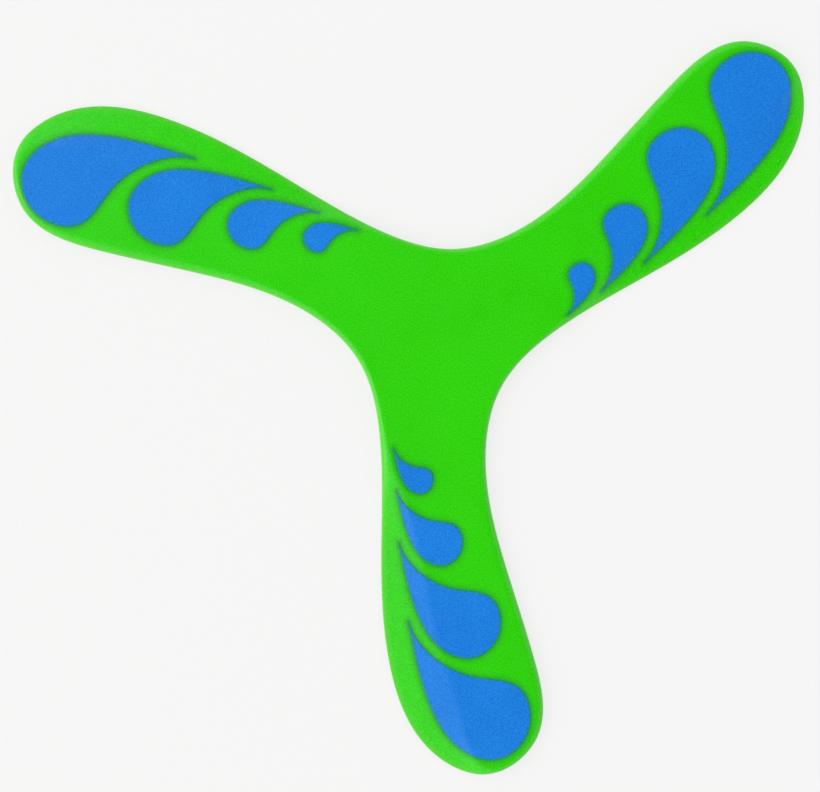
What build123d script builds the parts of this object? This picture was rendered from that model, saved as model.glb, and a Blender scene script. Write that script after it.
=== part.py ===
from build123d import *
import os
from math import cos, pi, sin

# Three-bladed boomerang for a right-handed thrower, in millimetres.
# Seen from above it spins anticlockwise about +Z. The origin is on the spin axis, on the flat
# underside, and +Z points up, out of the decorated side. Blade 1 points along -Y, and blades 2
# and 3 follow it anticlockwise, 120 degrees apart.
# A place on a blade is (distance outwards, distance towards the leading edge), from the spin axis.

BLADES = 3
BLADE_STEP = 360.0 / BLADES
FIRST_BLADE_ANGLE = -90.0

# The moulded body: a flat sheet with a thin rim, rounded leading edges and bevelled trailing edges.
THICKNESS = 4.0
RIM_HEIGHT = 1.3
LOWER_CORNER = 0.4
ROUND_WIDTH = 3.2
CROWN_STEPS = 6

# One blade's share of the outline, anticlockwise, from the crotch before the blade to the crotch
# after it. Each station is a place and the width of the bevel there, from the rim up to the flat
# top. A width of 0 means a rounded edge, ROUND_WIDTH wide, in place of the bevel.
OUTLINE_STATIONS = [
    (10.5, -28.5, 0.0),
    (38.0, -21.0, 0.0),
    (76.0, -20.5, 13.0),
    (118.0, -18.0, 19.0),
    (147.0, -7.0, 18.0),
    (157.5, 4.5, 11.0),
    (161.0, 18.0, 0.0),
    (148.5, 36.0, 0.0),
    (118.0, 35.0, 0.0),
    (84.0, 24.5, 0.0),
    (50.0, 17.5, 0.0),
]
TIP_STATION = 6
CROTCH_DIRECTION = 31.0

# The drop-shaped film at full size, from its tail tip at (0, 0), round the drop and back.
FILM_THICKNESS = 0.12
DROP_PROFILE = [
    (0.0, 0.0),
    (16.5, 3.5),
    (32.0, 8.5),
    (46.0, 18.0),
    (50.5, 32.5),
    (40.5, 43.5),
    (25.0, 40.5),
    (20.5, 24.0),
    (13.5, 9.5),
    (0.0, 0.0),
]

# A blade's four drops, from its tip inwards: the drop's size, and where its tail tip lies.
DROPS = {
    "tip": (1.0, (104.3, -10.9)),
    "outer": (0.83, (75.7, -14.3)),
    "inner": (0.535, (56.9, -15.1)),
    "root": (0.32, (41.8, -16.2)),
}

# Each blade's four drops are applied together, a little off the true place: moved outwards, moved
# towards the leading edge, and turned in degrees about DROP_PIVOT.
DROP_PIVOT = (100.0, 0.0)
DROP_OFFSETS = [
    (0.0, 0.0, 0.0),
    (1.65, -1.2, 0.7),
    (0.9, 0.75, 1.5),
]


def blade_angle(blade):
    """Direction of a blade, in degrees anticlockwise from +X."""
    return FIRST_BLADE_ANGLE + blade * BLADE_STEP


def at_height(shape, height):
    return shape.moved(Location((0, 0, height)))


def running_lengths(points):
    """Distance walked from the first point to each point."""
    lengths = [0.0]
    for here, there in zip(points, points[1:]):
        lengths.append(lengths[-1] + (there - here).length)
    return lengths


def next_blade(vector):
    return vector.rotate(Axis.Z, BLADE_STEP)


class Outline:
    """One blade's share of the outline, which every level cut of the body is set back from."""

    def __init__(self):
        self.points = [Vector(along, across) for along, across, bevel in OUTLINE_STATIONS]
        self.points.append(next_blade(self.points[0]))
        self.bevels = [bevel for along, across, bevel in OUTLINE_STATIONS]
        self.bevels.append(self.bevels[0])
        self.lengths = running_lengths(self.points)
        curve = self.curve_through(self.points)
        self.normals = [self.inward_normal(curve, point) for point in self.points]

    def curve_through(self, points):
        """Smooth curve through one point for each station, whose ends meet the next blades' curves."""
        start = Vector(1.0, 0.0).rotate(Axis.Z, CROTCH_DIRECTION)
        tangents = [start, next_blade(start)]
        return Edge.make_spline(points, tangents=tangents, parameters=self.lengths, scale=False)

    def inward_normal(self, curve, point):
        tangent = curve.tangent_at(curve.param_at_point(point))
        return Vector(-tangent.Y, tangent.X)

    def section(self, insets, height):
        """Level cut of the whole body, set back by one inset for each station."""
        stations = zip(self.points, self.normals, insets)
        points = [point + normal * inset for point, normal, inset in stations]
        curve = self.curve_through(points)
        tip = points[TIP_STATION]
        trailing = curve.trim(points[0], tip)
        leading = curve.trim(tip, points[-1])
        edges = []
        for blade in range(BLADES):
            edges.append(trailing.rotate(Axis.Z, blade_angle(blade)))
            edges.append(leading.rotate(Axis.Z, blade_angle(blade)))
        return at_height(Face(Wire(edges)), height)

    def even_section(self, inset, height):
        return self.section([inset] * len(self.points), height)

    def crown_section(self, step):
        """Level cut at a step between the rim (0) and the flat top (CROWN_STEPS)."""
        turn = step / CROWN_STEPS * pi / 2
        rise = sin(turn)
        rounding = ROUND_WIDTH * (1 - cos(turn))
        insets = [bevel * rise if bevel else rounding for bevel in self.bevels]
        return self.section(insets, RIM_HEIGHT + (THICKNESS - RIM_HEIGHT) * rise)


def make_body():
    """The one-piece moulding: hub and three blades."""
    outline = Outline()
    lower_corner = [outline.even_section(LOWER_CORNER, 0.0), outline.even_section(0.0, LOWER_CORNER)]
    foot = loft(lower_corner, ruled=True)
    rim = extrude(lower_corner[-1], amount=RIM_HEIGHT - LOWER_CORNER)
    crown = loft([outline.crown_section(step) for step in range(CROWN_STEPS + 1)])
    return foot + rim + crown


def drop_face(drop, blade):
    """Flat outline of one drop in its place on a blade, at the height of the rim."""
    size, tail = DROPS[drop]
    outwards, leading, turn = DROP_OFFSETS[blade]
    profile = [Vector(tail) + Vector(along, across) * size for along, across in DROP_PROFILE]
    face = Face(Wire([Spline(profile)])).rotate(Axis(DROP_PIVOT, (0, 0, 1)), turn)
    face = face.moved(Location((outwards, leading, RIM_HEIGHT)))
    return face.rotate(Axis.Z, blade_angle(blade))


def make_film(body, drop, blade):
    """Film that lies on the body's upper surface, over the bevel's crease too."""
    prism = extrude(drop_face(drop, blade), amount=THICKNESS)
    return (prism & at_height(body, FILM_THICKNESS)) - body


def main():
    os.makedirs("parts", exist_ok=True)
    body = make_body()
    export_step(body, "parts/moulded_body.step")
    for blade in range(BLADES):
        for drop in DROPS:
            film = make_film(body, drop, blade)
            export_step(film, f"parts/blade_{blade + 1}_{drop}_drop.step")


main()
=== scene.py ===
import math

import bpy
import numpy as np
from mathutils import Matrix, Vector
from mathutils.bvhtree import BVHTree
from mathutils.geometry import delaunay_2d_cdt


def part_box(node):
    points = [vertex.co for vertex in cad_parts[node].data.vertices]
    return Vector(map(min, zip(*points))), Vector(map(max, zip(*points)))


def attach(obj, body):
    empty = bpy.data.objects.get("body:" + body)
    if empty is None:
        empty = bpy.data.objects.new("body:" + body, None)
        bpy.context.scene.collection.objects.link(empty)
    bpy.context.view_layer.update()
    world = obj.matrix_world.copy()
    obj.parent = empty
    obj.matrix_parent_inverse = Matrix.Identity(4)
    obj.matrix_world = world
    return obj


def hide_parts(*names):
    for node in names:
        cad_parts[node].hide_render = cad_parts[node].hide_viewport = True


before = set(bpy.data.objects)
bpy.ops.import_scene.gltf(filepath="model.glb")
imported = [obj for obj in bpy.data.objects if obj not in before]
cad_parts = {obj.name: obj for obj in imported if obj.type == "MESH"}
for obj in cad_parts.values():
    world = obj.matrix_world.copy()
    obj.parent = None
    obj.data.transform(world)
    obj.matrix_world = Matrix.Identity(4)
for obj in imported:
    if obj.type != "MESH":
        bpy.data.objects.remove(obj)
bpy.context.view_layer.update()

# Three-bladed boomerang. Shapes are worked out in millimetres in the CAD frame and built in metres.
# A place on a blade is (distance outwards, distance towards the leading edge), from the spin axis.

MM = 0.001
FULL_TURN = 2 * math.pi
QUARTER_TURN = math.pi / 2

BLADES = 3
BLADE_STEP = math.radians(120.0)
FIRST_BLADE_ANGLE = math.radians(-90.0)

# Widths of the rounded edges: along a blade, at its root, and in the crotch between two blades.
# The CAD part has ROUND_WIDTH in all three places, and this model is sharper in the last two.
ROUND_WIDTH = 3.2
ROOT_WIDTH = 2.4
CROTCH_WIDTH = 1.8

# The body's outline, as the CAD part has it, and the width of the bevel or rounding at each place.
OUTLINE_STATIONS = [
    (10.5, -28.5, CROTCH_WIDTH),
    (38.0, -21.0, ROOT_WIDTH),
    (76.0, -20.5, 13.0),
    (118.0, -18.0, 19.0),
    (147.0, -7.0, 18.0),
    (157.5, 4.5, 11.0),
    (161.0, 18.0, ROUND_WIDTH),
    (148.5, 36.0, ROUND_WIDTH),
    (118.0, 35.0, ROUND_WIDTH),
    (84.0, 24.5, ROUND_WIDTH),
    (50.0, 17.5, ROOT_WIDTH),
]
OUTLINE_SAMPLES = 1080
# The body is smaller than the CAD part by this much all round, so that it stays inside its box.
RIM_INSET = 0.03

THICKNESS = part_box("moulded_body")[1].z / MM
RIM_HEIGHT = 1.3
CROWN_RISE = THICKNESS - RIM_HEIGHT
LOWER_CORNER = 0.4
LOWER_CORNER_RINGS = 5

# An edge is rounded up to NARROW_BEVEL wide, and a straight bevel from WIDE_BEVEL on.
NARROW_BEVEL = 4.0
WIDE_BEVEL = 9.0
# Rings of a bevel, from the rim inwards: on its rounded lip, in shares of LIP_RADIUS; on its
# straight slope, in shares of the slope; and about its crease, in shares of CREASE_SOFTNESS.
LIP_RADIUS = 0.45
LIP_SHARES = (0.0, 0.13, 0.45)
SLOPE_SHARES = (0.0, 0.14, 0.28, 0.43, 0.57, 0.72, 0.86, 1.0)
CREASE_SOFTNESS = 1.3
CREASE_SHARES = (-0.6, -0.2, 0.2, 0.6, 1.0, 2.0)
# A rounded edge has as many rings. These of them lie on the flat top, in shares of CREASE_SOFTNESS.
TOP_SHARES = (1.0, 2.0)

# Distance from the rim beyond which no colour depends on it.
RIM_REACH = 5.0
# Rows of points on the body round each drop, where shade is painted into the plastic: the rows'
# distances outwards from the drop, the painted shade's reach, and the points' least gaps to one
# another and to the rim.
HALO_STEPS = (-0.1, 0.3, 0.7, 1.2, 1.9, 3.0)
PRINT_SHADE_REACH = 3.0
HALO_SPACING = 0.22
HALO_RIM_GAP = 2 * LIP_RADIUS

# The drops, as the CAD part has them.
DROP_PROFILE = [
    (0.0, 0.0),
    (16.5, 3.5),
    (32.0, 8.5),
    (46.0, 18.0),
    (50.5, 32.5),
    (40.5, 43.5),
    (25.0, 40.5),
    (20.5, 24.0),
    (13.5, 9.5),
    (0.0, 0.0),
]
DROPS = {
    "tip": (1.0, (104.3, -10.9)),
    "outer": (0.83, (75.7, -14.3)),
    "inner": (0.535, (56.9, -15.1)),
    "root": (0.32, (41.8, -16.2)),
}
DROP_PIVOT = (100.0, 0.0)
DROP_OFFSETS = [
    (0.0, 0.0, 0.0),
    (1.65, -1.2, 0.7),
    (0.9, 0.75, 1.5),
]
DROP_SAMPLES_AT_FULL_SIZE = 420
# Samples on each side of the tail tip that set the direction in which the tip points.
TAIL_SAMPLES = 4

# A film's upper side is this much above the body's surface, and its lower side as much below it.
FILM_HEIGHT = 0.09
# Points of a film: rows at these distances in from its outline, and a grid with this pitch within.
INK_ROWS = (0.22, 0.5, 0.95)
FILM_GRID = 0.8
# Least gaps from these points to the outline, and between any two points.
INK_ROW_GAP = 0.9 * INK_ROWS[0]
FILM_POINT_GAP = 0.8 * INK_ROWS[0]

# Number of points whose distances to all the others are worked out at once.
LOT = 500


def turned(points, angle):
    """Points turned anticlockwise about the spin axis."""
    cos, sin = math.cos(angle), math.sin(angle)
    return np.asarray(points) @ np.array([[cos, sin], [-sin, cos]])


def blade_angle(blade):
    return FIRST_BLADE_ANGLE + blade * BLADE_STEP


class SmoothCurve:
    """Cubic curve through plane points, with the bends spread evenly. It may be closed."""

    def __init__(self, points, closed, knots=None):
        self.points = np.asarray(points, float)
        if closed:
            self.points = np.vstack([self.points, self.points[:1]])
        steps = np.linalg.norm(np.diff(self.points, axis=0), axis=1)
        self.knots = np.concatenate([[0.0], np.cumsum(steps)]) if knots is None else knots
        self.spans = np.diff(self.knots)
        self.slopes = self.closed_slopes() if closed else self.open_slopes()

    def inner_row(self, before, here, after, left, right):
        """A point's equation: the shares of the slopes before, here and after, and their sum."""
        a, b = 1.0 / self.spans[left], 1.0 / self.spans[right]
        pull = (self.points[here] - self.points[before]) * a * a
        push = (self.points[after] - self.points[here]) * b * b
        return a, 2 * (a + b), b, 3 * (pull + push)

    def closed_slopes(self):
        count = len(self.spans)
        matrix, wanted = np.zeros((count, count)), np.zeros((count, 2))
        for i in range(count):
            before = (i - 1) % count
            a, middle, b, wanted[i] = self.inner_row(before, i, i + 1, before, i)
            matrix[i, before] += a
            matrix[i, i] += middle
            matrix[i, (i + 1) % count] += b
        slopes = np.linalg.solve(matrix, wanted)
        return np.vstack([slopes, slopes[:1]])

    def end_slope(self, picks, at):
        """Slope at one end of the cubic through the four points nearest to it."""
        fits = [np.polyfit(self.knots[picks], self.points[picks, axis], 3) for axis in (0, 1)]
        return [np.polyval(np.polyder(fit), at) for fit in fits]

    def open_slopes(self):
        count = len(self.points)
        matrix, wanted = np.eye(count), np.zeros((count, 2))
        for i in range(1, count - 1):
            row = self.inner_row(i - 1, i, i + 1, i - 1, i)
            matrix[i, i - 1], matrix[i, i], matrix[i, i + 1], wanted[i] = row
        wanted[0] = self.end_slope(slice(0, 4), self.knots[0])
        wanted[-1] = self.end_slope(slice(-4, None), self.knots[-1])
        return np.linalg.solve(matrix, wanted)

    def at(self, lengths):
        """Points and directions of travel at distances along the knots."""
        last = len(self.spans) - 1
        i = np.clip(np.searchsorted(self.knots, lengths, side="right") - 1, 0, last)
        span = self.spans[i][:, None]
        u = ((lengths - self.knots[i])[:, None]) / span
        p0, p1 = self.points[i], self.points[i + 1]
        m0, m1 = self.slopes[i] * span, self.slopes[i + 1] * span
        place = (2 * u**3 - 3 * u**2 + 1) * p0 + (u**3 - 2 * u**2 + u) * m0
        place += (3 * u**2 - 2 * u**3) * p1 + (u**3 - u**2) * m1
        travel = (6 * u**2 - 6 * u) * (p0 - p1) + (3 * u**2 - 4 * u + 1) * m0
        travel += (3 * u**2 - 2 * u) * m1
        return place, travel / np.linalg.norm(travel, axis=1)[:, None]


def left_of(travel):
    return np.column_stack([-travel[:, 1], travel[:, 0]])


def smoothstep(value, low, high):
    share = np.clip((value - low) / (high - low), 0.0, 1.0)
    return share * share * (3 - 2 * share)


def inside(points, outline):
    """Which points lie inside a closed outline, by counting the edges to their right."""
    x, y = points[:, 0][:, None], points[:, 1][:, None]
    x0, y0 = outline[:, 0], outline[:, 1]
    x1, y1 = np.roll(x0, -1), np.roll(y0, -1)
    spans = (y0 > y) != (y1 > y)
    rise = np.where(y1 == y0, 1.0, y1 - y0)
    crossing = x0 + (y - y0) * (x1 - x0) / rise
    return (spans & (x < crossing)).sum(axis=1) % 2 == 1


def nearest(points, others):
    """Distance from each point to the nearest of the others."""
    distances = []
    for start in range(0, len(points), LOT):
        apart = points[start:start + LOT, None, :] - others[None, :, :]
        distances.append(np.sqrt((apart**2).sum(axis=2).min(axis=1)))
    return np.concatenate(distances)


def thinned(points, fixed, spacing):
    """The points that keep a spacing from the fixed points and from the ones kept before them."""
    cells = {}
    kept = []
    neighbours = [(i, j) for i in (-1, 0, 1) for j in (-1, 0, 1)]
    for index, (x, y) in enumerate(np.vstack([fixed, points])):
        column, row = int(x // spacing), int(y // spacing)
        near = [p for i, j in neighbours for p in cells.get((column + i, row + j), ())]
        new = index >= len(fixed)
        if new and any((x - px) ** 2 + (y - py) ** 2 < spacing**2 for px, py in near):
            continue
        cells.setdefault((column, row), []).append((x, y))
        if new:
            kept.append((x, y))
    return np.array(kept)


# ---- Meshes ----


# For delaunay_2d_cdt: the kind of result that has only the triangles inside the border, and the
# distance within which two points count as one.
INSIDE_BORDER = 1
SAME_POINT = 1e-7


def closed_edges(count):
    """Pairs of neighbours round a ring of points."""
    return [(i, (i + 1) % count) for i in range(count)]


def ring_faces(rings, count):
    """Quads between neighbouring rings of equally many points."""
    faces = []
    for ring in range(rings - 1):
        low, high = ring * count, (ring + 1) * count
        faces += [(low + i, low + j, high + j, high + i) for i, j in closed_edges(count)]
    return faces


def triangulated(points, border_count):
    """Triangles between plane points, of which the first border_count go once round the border."""
    vectors = [Vector(point) for point in points]
    border = closed_edges(border_count)
    result = delaunay_2d_cdt(vectors, border, [], INSIDE_BORDER, SAME_POINT)
    return [tuple(triangle) for triangle in result[2]]


def new_object(name, data):
    thing = bpy.data.objects.new(name, data)
    bpy.context.scene.collection.objects.link(thing)
    return thing


def build_mesh(name, vertices, faces, attributes):
    """Smooth-shaded mesh from millimetre points, with a number for each point in each attribute."""
    mesh = bpy.data.meshes.new(name)
    mesh.from_pydata([tuple(v) for v in np.asarray(vertices) * MM], [], faces)
    for key, values in attributes.items():
        layer = mesh.attributes.new(key, "FLOAT", "POINT")
        layer.data.foreach_set("value", np.asarray(values, np.float32))
    mesh.polygons.foreach_set("use_smooth", [True] * len(mesh.polygons))
    mesh.update()
    return new_object(name, mesh)


# ---- The moulded body ----


def stations():
    """Outline points of all the blades, and the width of the edge at each."""
    points, widths = [], []
    for blade in range(BLADES):
        for along, across, width in OUTLINE_STATIONS:
            points.append(turned((along, across), blade_angle(blade)))
            widths.append(width)
    return np.array(points), np.array(widths)


def bevel_height(distances, width):
    """Height of a bevel: a small rounded lip at the rim, a straight slope and a softened crease."""
    rise = CROWN_RISE * distances / width
    softness = CROWN_RISE * CREASE_SOFTNESS / width
    overlap = np.maximum(softness - np.abs(CROWN_RISE - rise), 0.0) / softness
    ramp = np.minimum(rise, CROWN_RISE) - overlap**2 * softness / 4
    short = np.clip(LIP_RADIUS - distances, 0.0, LIP_RADIUS)
    lip = LIP_RADIUS - np.sqrt(LIP_RADIUS**2 - short**2)
    return RIM_HEIGHT + ramp - lip


def crown_section(width):
    """Distances inwards and heights of the crown's rings, for each width along the outline."""
    level = np.zeros_like(width)
    lip = [share * LIP_RADIUS + level for share in LIP_SHARES]
    slope_width = width - CREASE_SOFTNESS - LIP_RADIUS
    slope = [LIP_RADIUS + share * slope_width for share in SLOPE_SHARES]
    crease = [width + share * CREASE_SOFTNESS for share in CREASE_SHARES]
    bevel_in = np.array(lip + slope + crease)
    bevel_up = bevel_height(bevel_in, width)

    turn = np.linspace(0.0, QUARTER_TURN, len(bevel_in) - len(TOP_SHARES))[:, None]
    top_in = [width + share * CREASE_SOFTNESS for share in TOP_SHARES]
    top_up = [THICKNESS + level for _ in TOP_SHARES]
    round_in = np.vstack([width * (1 - np.cos(turn)), top_in])
    round_up = np.vstack([RIM_HEIGHT + CROWN_RISE * np.sin(turn) + level, top_up])

    straight = smoothstep(width, NARROW_BEVEL, WIDE_BEVEL)
    return (straight * bevel_in + (1 - straight) * round_in,
            straight * bevel_up + (1 - straight) * round_up)


def body_rings():
    """Rings of points: round the lower corner to the rim, and over the crown to the flat top."""
    points, widths = stations()
    outline = SmoothCurve(points, closed=True)
    inward = left_of(outline.at(outline.knots[:-1])[1])
    top = SmoothCurve(points + inward * widths[:, None], closed=True, knots=outline.knots)
    lengths = np.linspace(0.0, outline.knots[-1], OUTLINE_SAMPLES, endpoint=False)
    rim, travel = outline.at(lengths)
    normal = left_of(travel)
    rim = rim + normal * RIM_INSET
    across = top.at(lengths)[0] - rim
    width = np.linalg.norm(across, axis=1)
    across /= width[:, None]

    lower = []
    for turn in np.linspace(0.0, QUARTER_TURN, LOWER_CORNER_RINGS):
        inset = LOWER_CORNER * (1 - math.sin(turn))
        height = LOWER_CORNER * (1 - math.cos(turn))
        lower.append(np.column_stack([rim + normal * inset, np.full(OUTLINE_SAMPLES, height)]))
    crown = [np.column_stack([rim + across * inset[:, None], height])
             for inset, height in zip(*crown_section(width))]
    return lower, crown


class Surface:
    """The body's upper surface: its height at any place, and how far away the rim is."""

    def __init__(self, crown):
        count = len(crown[0])
        flat_top = list(range((len(crown) - 1) * count, len(crown) * count))
        faces = ring_faces(len(crown), count) + [flat_top]
        self.tree = BVHTree.FromPolygons([Vector(v) for v in np.vstack(crown)], faces)
        self.rim = crown[0][:, :2]

    def heights(self, plan):
        down = Vector((0, 0, -1))
        starts = [Vector((x, y, 2 * THICKNESS)) for x, y in plan]
        return np.array([self.tree.ray_cast(start, down)[0].z for start in starts])

    def rim_distances(self, plan):
        return nearest(plan, self.rim)


def print_distances(plan, drops):
    """Distance from each place to the nearest drop, up to PRINT_SHADE_REACH, and 0 under a drop."""
    distances = np.full(len(plan), PRINT_SHADE_REACH)
    for drop in drops:
        low, high = drop.min(axis=0) - PRINT_SHADE_REACH, drop.max(axis=0) + PRINT_SHADE_REACH
        close = np.nonzero(((plan > low) & (plan < high)).all(axis=1))[0]
        found = nearest(plan[close], drop)
        found[inside(plan[close], drop)] = 0.0
        distances[close] = np.minimum(distances[close], found)
    return distances


def crown_mesh(crown, surface, drops):
    """Points and triangles of the upper surface within its first ring, dense round every drop."""
    rings = np.vstack([ring[:, :2] for ring in crown])
    halo = np.vstack([drop + outward_normals(drop) * step for drop in drops for step in HALO_STEPS])
    halo = halo[inside(halo, crown[0][:, :2])]
    halo = halo[surface.rim_distances(halo) > HALO_RIM_GAP]
    halo = thinned(halo, rings, HALO_SPACING)
    flat = np.vstack([rings, halo])
    heights = np.concatenate([ring[:, 2] for ring in crown] + [surface.heights(halo)])
    return np.column_stack([flat, heights]), triangulated(flat, len(crown[0]))


def make_body(lower, crown, surface, drops):
    """The moulding: quads between the rings up to the lip, and triangles over the rest of the top."""
    count = OUTLINE_SAMPLES
    lip_rings = len(LIP_SHARES)
    sides = lower + crown[:lip_rings]
    upper, triangles = crown_mesh(crown[lip_rings - 1:], surface, drops)
    start = (len(sides) - 1) * count
    vertices = np.vstack([np.vstack(sides[:-1]), upper])
    underside = list(range(count))[::-1]
    faces = [underside] + ring_faces(len(sides), count)
    faces += [tuple(start + k for k in t) for t in triangles]
    attributes = {
        "rim_distance": np.minimum(surface.rim_distances(vertices[:, :2]), RIM_REACH),
        # Distance to the print, which sets the painted shade beside it.
        "print_distance": np.concatenate([np.full(start, PRINT_SHADE_REACH),
                                          print_distances(upper[:, :2], drops)]),
    }
    return build_mesh("boomerang_body", vertices, faces, attributes)


# ---- The drop films ----


def drop_outline(drop, blade):
    """Closed outline of a drop in its place, anticlockwise, starting at its tail tip."""
    size, tail = DROPS[drop]
    curve = SmoothCurve(np.array(DROP_PROFILE) * size + tail, closed=False)
    samples = int(DROP_SAMPLES_AT_FULL_SIZE * size)
    lengths = np.linspace(0.0, curve.knots[-1], samples, endpoint=False)
    outwards, leading, turn = DROP_OFFSETS[blade]
    place = turned(curve.at(lengths)[0] - DROP_PIVOT, math.radians(turn)) + DROP_PIVOT
    return turned(place + (outwards, leading), blade_angle(blade))


def outward_normals(outline):
    """Directions away from a drop at its outline's points, the first of which is the tail tip."""
    travel = np.roll(outline, -1, axis=0) - np.roll(outline, 1, axis=0)
    travel /= np.linalg.norm(travel, axis=1)[:, None]
    normals = -left_of(travel)
    normals[0] = outline[0] - (outline[TAIL_SAMPLES] + outline[-TAIL_SAMPLES]) / 2
    normals[0] /= np.linalg.norm(normals[0])
    return normals


def inner_points(outline):
    """Points inside a drop: rows along its outline and an even grid within."""
    normals = outward_normals(outline)
    rows = np.vstack([outline - normals * inset for inset in INK_ROWS])
    low, high = outline.min(axis=0), outline.max(axis=0)
    grid = np.array([(x, y) for x in np.arange(low[0], high[0], FILM_GRID)
                     for y in np.arange(low[1], high[1], FILM_GRID)])
    grid = grid[nearest(grid, outline) > INK_ROWS[-1] + FILM_GRID / 2]
    points = np.vstack([rows, grid])
    points = points[inside(points, outline)]
    points = points[nearest(points, outline) > INK_ROW_GAP]
    return thinned(points, outline, FILM_POINT_GAP)


def make_film(name, outline, surface):
    """Thin closed film that follows the body."""
    flat = np.vstack([outline, inner_points(outline)])
    triangles = triangulated(flat, len(outline))
    ground = surface.heights(flat)
    lower = len(flat)
    vertices = np.vstack([np.column_stack([flat, ground + FILM_HEIGHT]),
                          np.column_stack([flat, ground - FILM_HEIGHT])])
    faces = triangles + [tuple(lower + k for k in reversed(t)) for t in triangles]
    faces += [(i, lower + i, lower + j, j) for i, j in closed_edges(len(outline))]
    ink_depth = np.minimum(nearest(flat, outline), INK_ROWS[-1])
    return build_mesh(name, vertices, faces, {"ink_depth": np.tile(ink_depth, 2)})


# ---- Materials ----


# Places of the colour sockets on a Mix node, where other kinds of socket have the same names.
MIX_SHARE, MIX_FIRST, MIX_SECOND = 0, 6, 7
MIX_RESULT = 2
# Most of a noise's values lie between these.
NOISE_RANGE = (0.3, 0.7)


def rgba(colour):
    return (*colour, 1.0)


def grey(level):
    return (level, level, level)


class Nodes:
    """A node tree, with short calls to add nodes and join them."""

    def __init__(self, tree):
        self.tree = tree

    def add(self, kind, **settings):
        node = self.tree.nodes.new(kind)
        for key, value in settings.items():
            setattr(node, key, value)
        return node

    def feed(self, socket, value):
        """Join another node's output to a socket, or set a constant on it."""
        if isinstance(value, bpy.types.NodeSocket):
            self.tree.links.new(value, socket)
        else:
            socket.default_value = value

    def ranged(self, source, low, high, to_low, to_high, kind="LINEAR"):
        """The source's range from low to high, brought to the range from to_low to to_high."""
        node = self.add("ShaderNodeMapRange", clamp=True, interpolation_type=kind)
        self.feed(node.inputs["Value"], source)
        self.feed(node.inputs["From Min"], low)
        self.feed(node.inputs["From Max"], high)
        self.feed(node.inputs["To Min"], to_low)
        self.feed(node.inputs["To Max"], to_high)
        return node.outputs["Result"]

    def vector_math(self, operation, source, constant, output):
        node = self.add("ShaderNodeVectorMath", operation=operation)
        self.feed(node.inputs[0], source)
        self.feed(node.inputs[1], constant)
        return node.outputs[output]


class MaterialNodes(Nodes):
    """The nodes of a new material."""

    def __init__(self, name):
        self.material = bpy.data.materials.new(name)
        self.material.use_nodes = True
        super().__init__(self.material.node_tree)
        self.shader = self.tree.nodes["Principled BSDF"]
        self.place = self.add("ShaderNodeTexCoord").outputs["Object"]

    def noise(self, size_mm, detail=2.0, roughness=0.5):
        """Noise between 0 and 1 whose blotches are about size_mm across."""
        node = self.add("ShaderNodeTexNoise")
        self.feed(node.inputs["Scale"], 1.0 / (size_mm * MM))
        self.feed(node.inputs["Detail"], detail)
        self.feed(node.inputs["Roughness"], roughness)
        self.feed(node.inputs["Vector"], self.place)
        return node.outputs["Fac"]

    def ramp(self, source, stops, reach=1.0):
        """Colour by position. The stops are given as (position times reach, colour)."""
        node = self.add("ShaderNodeValToRGB")
        self.feed(node.inputs["Fac"], source)
        elements = node.color_ramp.elements
        first, *middle, last = [(position / reach, rgba(colour)) for position, colour in stops]
        elements[0].position, elements[0].color = first
        elements[1].position, elements[1].color = last
        for position, colour in middle:
            elements.new(position).color = colour
        return node.outputs["Color"]

    def ramp_by_distance(self, attribute, stops, reach):
        """Colour by an attribute that holds a distance in mm, up to a reach."""
        distance = self.add("ShaderNodeAttribute", attribute_name=attribute).outputs["Fac"]
        return self.ramp(self.ranged(distance, 0.0, reach, 0.0, 1.0), stops, reach)

    def mix(self, share, first, second, blend="MIX"):
        node = self.add("ShaderNodeMix", data_type="RGBA", blend_type=blend)
        self.feed(node.inputs[MIX_SHARE], share)
        self.feed(node.inputs[MIX_FIRST], first)
        self.feed(node.inputs[MIX_SECOND], second)
        return node.outputs[MIX_RESULT]

    def times(self, first, second):
        return self.mix(1.0, first, second, blend="MULTIPLY")

    def bump(self, source, height_mm, strength):
        node = self.add("ShaderNodeBump")
        self.feed(node.inputs["Strength"], strength)
        self.feed(node.inputs["Distance"], height_mm * MM)
        self.feed(node.inputs["Height"], source)
        return node.outputs["Normal"]

    def finish(self, colour, roughness, normal, constants):
        self.feed(self.shader.inputs["Base Color"], colour)
        self.feed(self.shader.inputs["Roughness"], roughness)
        self.feed(self.shader.inputs["Normal"], normal)
        for key, value in constants.items():
            self.feed(self.shader.inputs[key], value)
        return self.material


# Below, a noise's blotch size is in mm, and a bump is a height in mm and a strength.
PLASTIC_IOR = 1.49
GRAIN = 0.5
GRAIN_ROUGHNESS = 0.6

GREEN = (0.0290, 0.645, 0.0015)
# Painted shade beside the print, from the print's edge outwards: distance, colour.
GREEN_PRINT_SHADE = [
    (0.0, (0.0140, 0.285, 0.1400)),
    (0.36, (0.0165, 0.360, 0.0600)),
    (0.72, (0.0210, 0.450, 0.0170)),
    (1.1, (0.0250, 0.520, 0.0070)),
    (1.8, (0.0285, 0.590, 0.0040)),
    (3.0, GREEN),
]
# Painted sheen along the rim of the plastic, from the rim inwards: distance, share of the sheen
# colour.
GREEN_RIM_SHEEN = (0.1500, 0.570, 0.0400)
RIM_SHEEN_SHARES = [(0.0, 0.75), (0.4, 0.42), (1.1, 0.18), (2.4, 0.0)]
# The painted sheen varies by this factor, patchy as if rubbed, over this range of a noise.
SHEEN_RUB_FACTOR = (0.75, 1.15)
SHEEN_RUB_RANGE = (0.35, 0.65)
SHEEN_RUB_BLOTCH = 4.0
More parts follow.
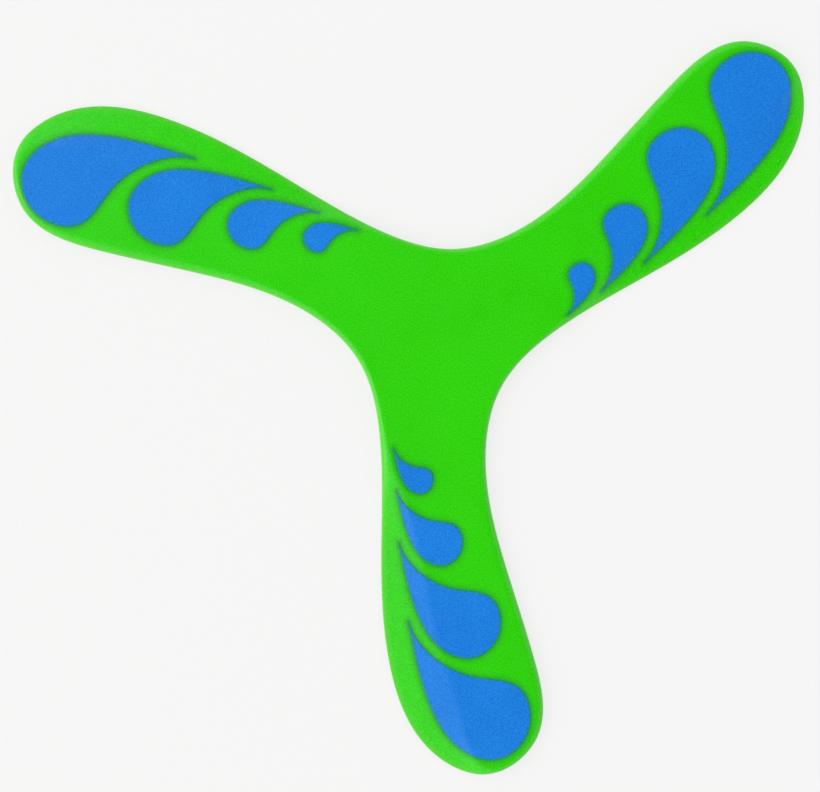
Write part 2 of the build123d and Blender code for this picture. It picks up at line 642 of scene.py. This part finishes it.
# Factors of the plastic's colour: by slow tone changes, and by the grain.
GREEN_TONES = [(0.3, (0.93, 0.965, 0.90)), (0.7, (1.05, 1.02, 1.10))]
GREEN_TONE_BLOTCH = 38.0
GREEN_SPECKLE = [(0.36, (0.65, 0.86, 0.25)), (0.64, (1.35, 1.14, 1.80))]
GREEN_ROUGHNESS = (0.24, 0.30)
GREEN_ROUGHNESS_BLOTCH = 9.0
GREEN_BUMP = (0.015, 0.25)
GREEN_SPECULAR = 0.33

BLUE = (0.0130, 0.214, 0.745)
# Blue of a film, from its edge inwards: distance, colour.
BLUE_BY_EDGE = [
    (0.0, (0.0150, 0.275, 0.220)),
    (0.22, (0.0150, 0.240, 0.420)),
    (0.5, (0.0150, 0.215, 0.620)),
    (0.95, BLUE),
]
# Factors of the films' colour: by slow tone changes, and by the grain.
BLUE_TONES = [(0.35, (0.95, 0.96, 0.97)), (0.65, (1.04, 1.03, 1.02))]
BLUE_TONE_BLOTCH = 22.0
BLUE_SPECKLE = [(0.36, (0.46, 0.78, 0.86)), (0.64, (1.54, 1.22, 1.14))]
BLUE_ROUGHNESS = (0.22, 0.28)
BLUE_ROUGHNESS_BLOTCH = 7.0
BLUE_BUMP = (0.01, 0.2)
BLUE_SPECULAR = 0.22

BOARD_GREYS = [(0.2, grey(0.20)), (0.8, grey(0.22))]
BOARD_FIBRE = 1.4
BOARD_ROUGHNESS = (0.8, 0.95)
BOARD_BUMP = (0.03, 0.1)
BOARD_SPECULAR = 0.1
BOARD_GLOW = 0.706


def green_plastic():
    """Satin moulded plastic: fine grain, slow tone changes, painted sheen along the rim, and painted
    shade beside the print.
    """
    nodes = MaterialNodes("green_plastic")
    grain = nodes.noise(GRAIN, roughness=GRAIN_ROUGHNESS)
    # Painted shade: the green darkens towards each drop.
    base = nodes.ramp_by_distance("print_distance", GREEN_PRINT_SHADE, PRINT_SHADE_REACH)
    toned = nodes.times(base, nodes.ramp(nodes.noise(GREEN_TONE_BLOTCH), GREEN_TONES))
    speckled = nodes.times(toned, nodes.ramp(grain, GREEN_SPECKLE))
    # Painted sheen: a paler, whiter green along the rim, patchy as if rubbed.
    rim_sheen_stops = [(distance, grey(share)) for distance, share in RIM_SHEEN_SHARES]
    rim = nodes.ramp_by_distance("rim_distance", rim_sheen_stops, RIM_REACH)
    sheen_rub = nodes.ranged(nodes.noise(SHEEN_RUB_BLOTCH, detail=4.0), *SHEEN_RUB_RANGE, *SHEEN_RUB_FACTOR)
    rubbed_sheen_share = nodes.add("ShaderNodeMath", operation="MULTIPLY")
    nodes.feed(rubbed_sheen_share.inputs[0], rim)
    nodes.feed(rubbed_sheen_share.inputs[1], sheen_rub)
    colour = nodes.mix(rubbed_sheen_share.outputs[0], speckled, rgba(GREEN_RIM_SHEEN))
    sheen = nodes.noise(GREEN_ROUGHNESS_BLOTCH, detail=3.0)
    roughness = nodes.ranged(sheen, *NOISE_RANGE, *GREEN_ROUGHNESS)
    normal = nodes.bump(grain, *GREEN_BUMP)
    constants = {"Specular IOR Level": GREEN_SPECULAR, "IOR": PLASTIC_IOR}
    return nodes.finish(colour, roughness, normal, constants)


def blue_film():
    """Semi-gloss printed film, whose colour runs a little into the green along its edge."""
    nodes = MaterialNodes("blue_film")
    grain = nodes.noise(GRAIN, roughness=GRAIN_ROUGHNESS)
    base = nodes.ramp_by_distance("ink_depth", BLUE_BY_EDGE, INK_ROWS[-1])
    toned = nodes.times(base, nodes.ramp(nodes.noise(BLUE_TONE_BLOTCH), BLUE_TONES))
    colour = nodes.times(toned, nodes.ramp(grain, BLUE_SPECKLE))
    sheen = nodes.noise(BLUE_ROUGHNESS_BLOTCH, detail=3.0)
    roughness = nodes.ranged(sheen, *NOISE_RANGE, *BLUE_ROUGHNESS)
    normal = nodes.bump(grain, *BLUE_BUMP)
    constants = {"Specular IOR Level": BLUE_SPECULAR, "IOR": PLASTIC_IOR}
    return nodes.finish(colour, roughness, normal, constants)


def light_table():
    """White acrylic board, softly lit from below as well as from above."""
    nodes = MaterialNodes("light_table")
    fibre = nodes.noise(BOARD_FIBRE, detail=4.0, roughness=0.6)
    colour = nodes.ramp(fibre, BOARD_GREYS)
    roughness = nodes.ranged(fibre, *NOISE_RANGE, *BOARD_ROUGHNESS)
    normal = nodes.bump(fibre, *BOARD_BUMP)
    constants = {
        "Specular IOR Level": BOARD_SPECULAR,
        "Emission Color": rgba(grey(1.0)),
        "Emission Strength": BOARD_GLOW,
    }
    return nodes.finish(colour, roughness, normal, constants)


# ---- Stage: floor, light and camera ----


# The floor's rings, in metres.
FLOOR_RADII = (0.3, 0.7, 1.5, 3.0, 6.0, 12.0)
FLOOR_SEGMENTS = 96

# Strength of the studio's light at the left and right, and where along X the change begins and ends.
LEFT_LIGHT = 1.38
RIGHT_LIGHT = 1.02
LIGHT_ENDS = (-0.7, 0.7)
# The dim round of ceiling: its strength, its middle, its stretch, and where its soft edge lies.
DIM_LIGHT = 0.05
DIM_PLACE = (0.26, 0.0, 0.0)
DIM_SHAPE = (1.0, 0.75, 0.0)
DIM_EDGE = (0.36, 0.50)

# The square lamp on the left, in metres and watts.
KEY_PLACE = Vector((-1.5, -0.15, 0.85))
KEY_SIDE = 0.9
KEY_POWER = 6.0
KEY_COLOUR = (1.0, 0.93, 0.8)

CAMERA_PLACE = Vector((-55.4, -1.4, 600.0)) * MM
CAMERA_TARGET = Vector((-9.98, -23.04, 0.0)) * MM
CAMERA_UP = Vector((0.0036, 0.9994, -0.0357))
CAMERA_LENS = 73.24
SENSOR_WIDTH = 36.0
CLIP_START = 0.01
CLIP_END = 20.0


def make_floor():
    """A wide round board, so that its far edge is a level line in every view."""
    angles = np.linspace(0.0, FULL_TURN, FLOOR_SEGMENTS, endpoint=False)
    rings = [np.column_stack([radius * np.cos(angles), radius * np.sin(angles), 0 * angles])
             for radius in FLOOR_RADII]
    middle = list(range(FLOOR_SEGMENTS))
    faces = [middle] + [face[::-1] for face in ring_faces(len(rings), FLOOR_SEGMENTS)]
    mesh = bpy.data.meshes.new("table")
    mesh.from_pydata([tuple(v) for v in np.vstack(rings)], [], faces)
    mesh.materials.append(light_table())
    floor = new_object("table", mesh)


def make_world():
    """Studio brighter on the left, with a dim round of ceiling overhead and a little to the right."""
    world = bpy.data.worlds.new("studio")
    world.use_nodes = True
    nodes = Nodes(world.node_tree)
    place = nodes.add("ShaderNodeTexCoord").outputs["Generated"]
    split = nodes.add("ShaderNodeSeparateXYZ")
    nodes.feed(split.inputs[0], place)
    studio = nodes.ranged(split.outputs["X"], *LIGHT_ENDS, LEFT_LIGHT, RIGHT_LIGHT, "SMOOTHSTEP")
    stretched = nodes.vector_math("MULTIPLY", place, DIM_SHAPE, "Vector")
    away = nodes.vector_math("DISTANCE", stretched, DIM_PLACE, "Value")
    level = nodes.ranged(away, *DIM_EDGE, DIM_LIGHT, studio, "SMOOTHSTEP")
    background = world.node_tree.nodes["Background"]
    nodes.feed(background.inputs["Color"], rgba(grey(1.0)))
    nodes.feed(background.inputs["Strength"], level)
    bpy.context.scene.world = world


def aim(thing, place, target, up):
    """Put a thing at a place, looking along its own -Z at the target."""
    back = (place - target).normalized()
    right = up.cross(back).normalized()
    turn = Matrix((right, back.cross(right), back)).transposed()
    thing.matrix_world = Matrix.LocRotScale(place, turn, None)


def make_key_panel():
    light = bpy.data.lights.new("key_panel", "AREA")
    light.shape = "SQUARE"
    light.size = KEY_SIDE
    light.energy = KEY_POWER
    light.color = KEY_COLOUR
    aim(new_object("key_panel", light), KEY_PLACE, Vector((0, 0, 0)), Vector((0, 0, 1)))


def make_camera():
    data = bpy.data.cameras.new("camera")
    data.lens = CAMERA_LENS
    data.sensor_width = SENSOR_WIDTH
    data.clip_start = CLIP_START
    data.clip_end = CLIP_END
    camera = new_object("camera", data)
    aim(camera, CAMERA_PLACE, CAMERA_TARGET, CAMERA_UP)
    bpy.context.scene.camera = camera


def place_piece(piece, material, node):
    piece.data.materials.append(material)
    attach(piece, "root")
    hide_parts(node)


def main():
    lower, crown = body_rings()
    surface = Surface(crown)
    drops = {(blade, drop): drop_outline(drop, blade) for blade in range(BLADES) for drop in DROPS}
    body = make_body(lower, crown, surface, list(drops.values()))
    place_piece(body, green_plastic(), "moulded_body")
    film_material = blue_film()
    for (blade, drop), outline in drops.items():
        name = f"blade_{blade + 1}_{drop}"
        film = make_film(f"{name}_film", outline, surface)
        place_piece(film, film_material, f"{name}_drop")
    make_floor()
    make_world()
    make_key_panel()
    make_camera()
    bpy.context.scene.view_settings.view_transform = "Standard"


main()
